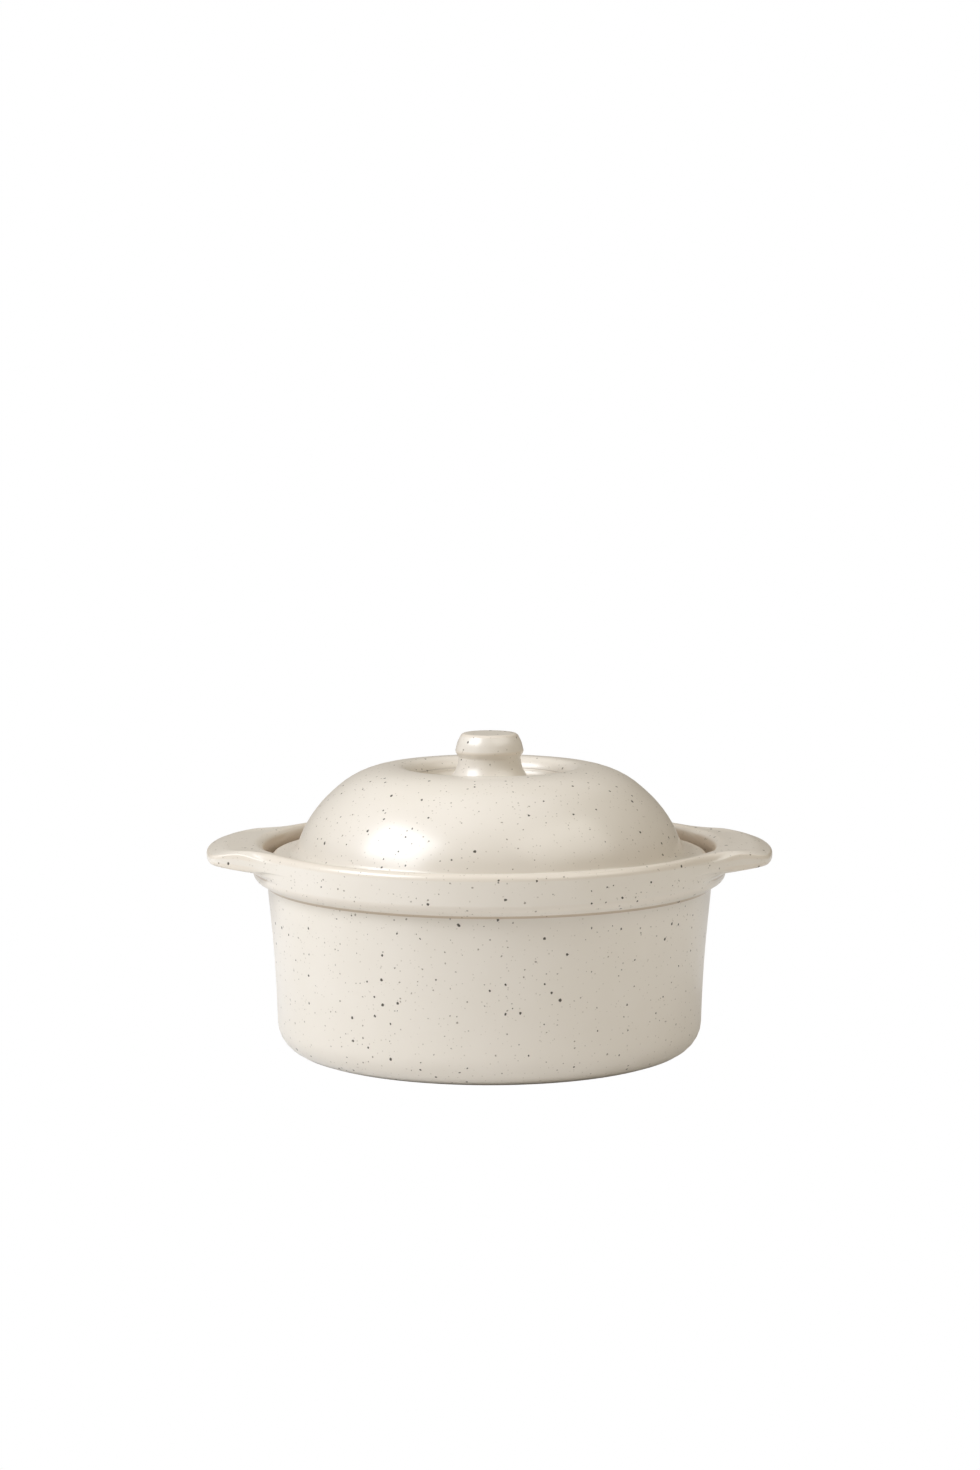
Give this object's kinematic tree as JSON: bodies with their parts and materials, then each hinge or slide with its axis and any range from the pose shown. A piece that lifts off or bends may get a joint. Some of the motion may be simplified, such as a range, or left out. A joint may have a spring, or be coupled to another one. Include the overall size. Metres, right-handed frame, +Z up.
{
  "type": "lidded stoneware butter crock",
  "caption": "Round speckled stoneware crock with a collar, flat side lugs and a domed lift-off lid with a recessed knob, for keeping butter or other food.",
  "frame": {"origin": "centre of the foot, on the plane that the crock stands on", "axes": "+Z up along the pot's axis; +X towards the right lug; the front faces -Y"},
  "size_m": [0.17, 0.1422, 0.0958],
  "materials": {
    "pot_glaze": "warm cream satin glaze over stoneware, with sparse dark iron specks; unglazed foot ring and lid gallery",
    "lid_glaze": "warm cream satin glaze over stoneware, with sparse dark iron specks; unglazed underside of the flange"
  },
  "bodies": {
    "crock": {"crock_body": "pot_glaze", "right_lug": "pot_glaze", "left_lug": "pot_glaze"},
    "lid": {"lid": "lid_glaze", "knob": "lid_glaze"}
  },
  "joints": [
    {"name": "lid_lift", "type": "slide", "parent": "crock", "child": "lid", "axis": [0, 0, 1], "range_m": [0, 0.08]}
  ]
}
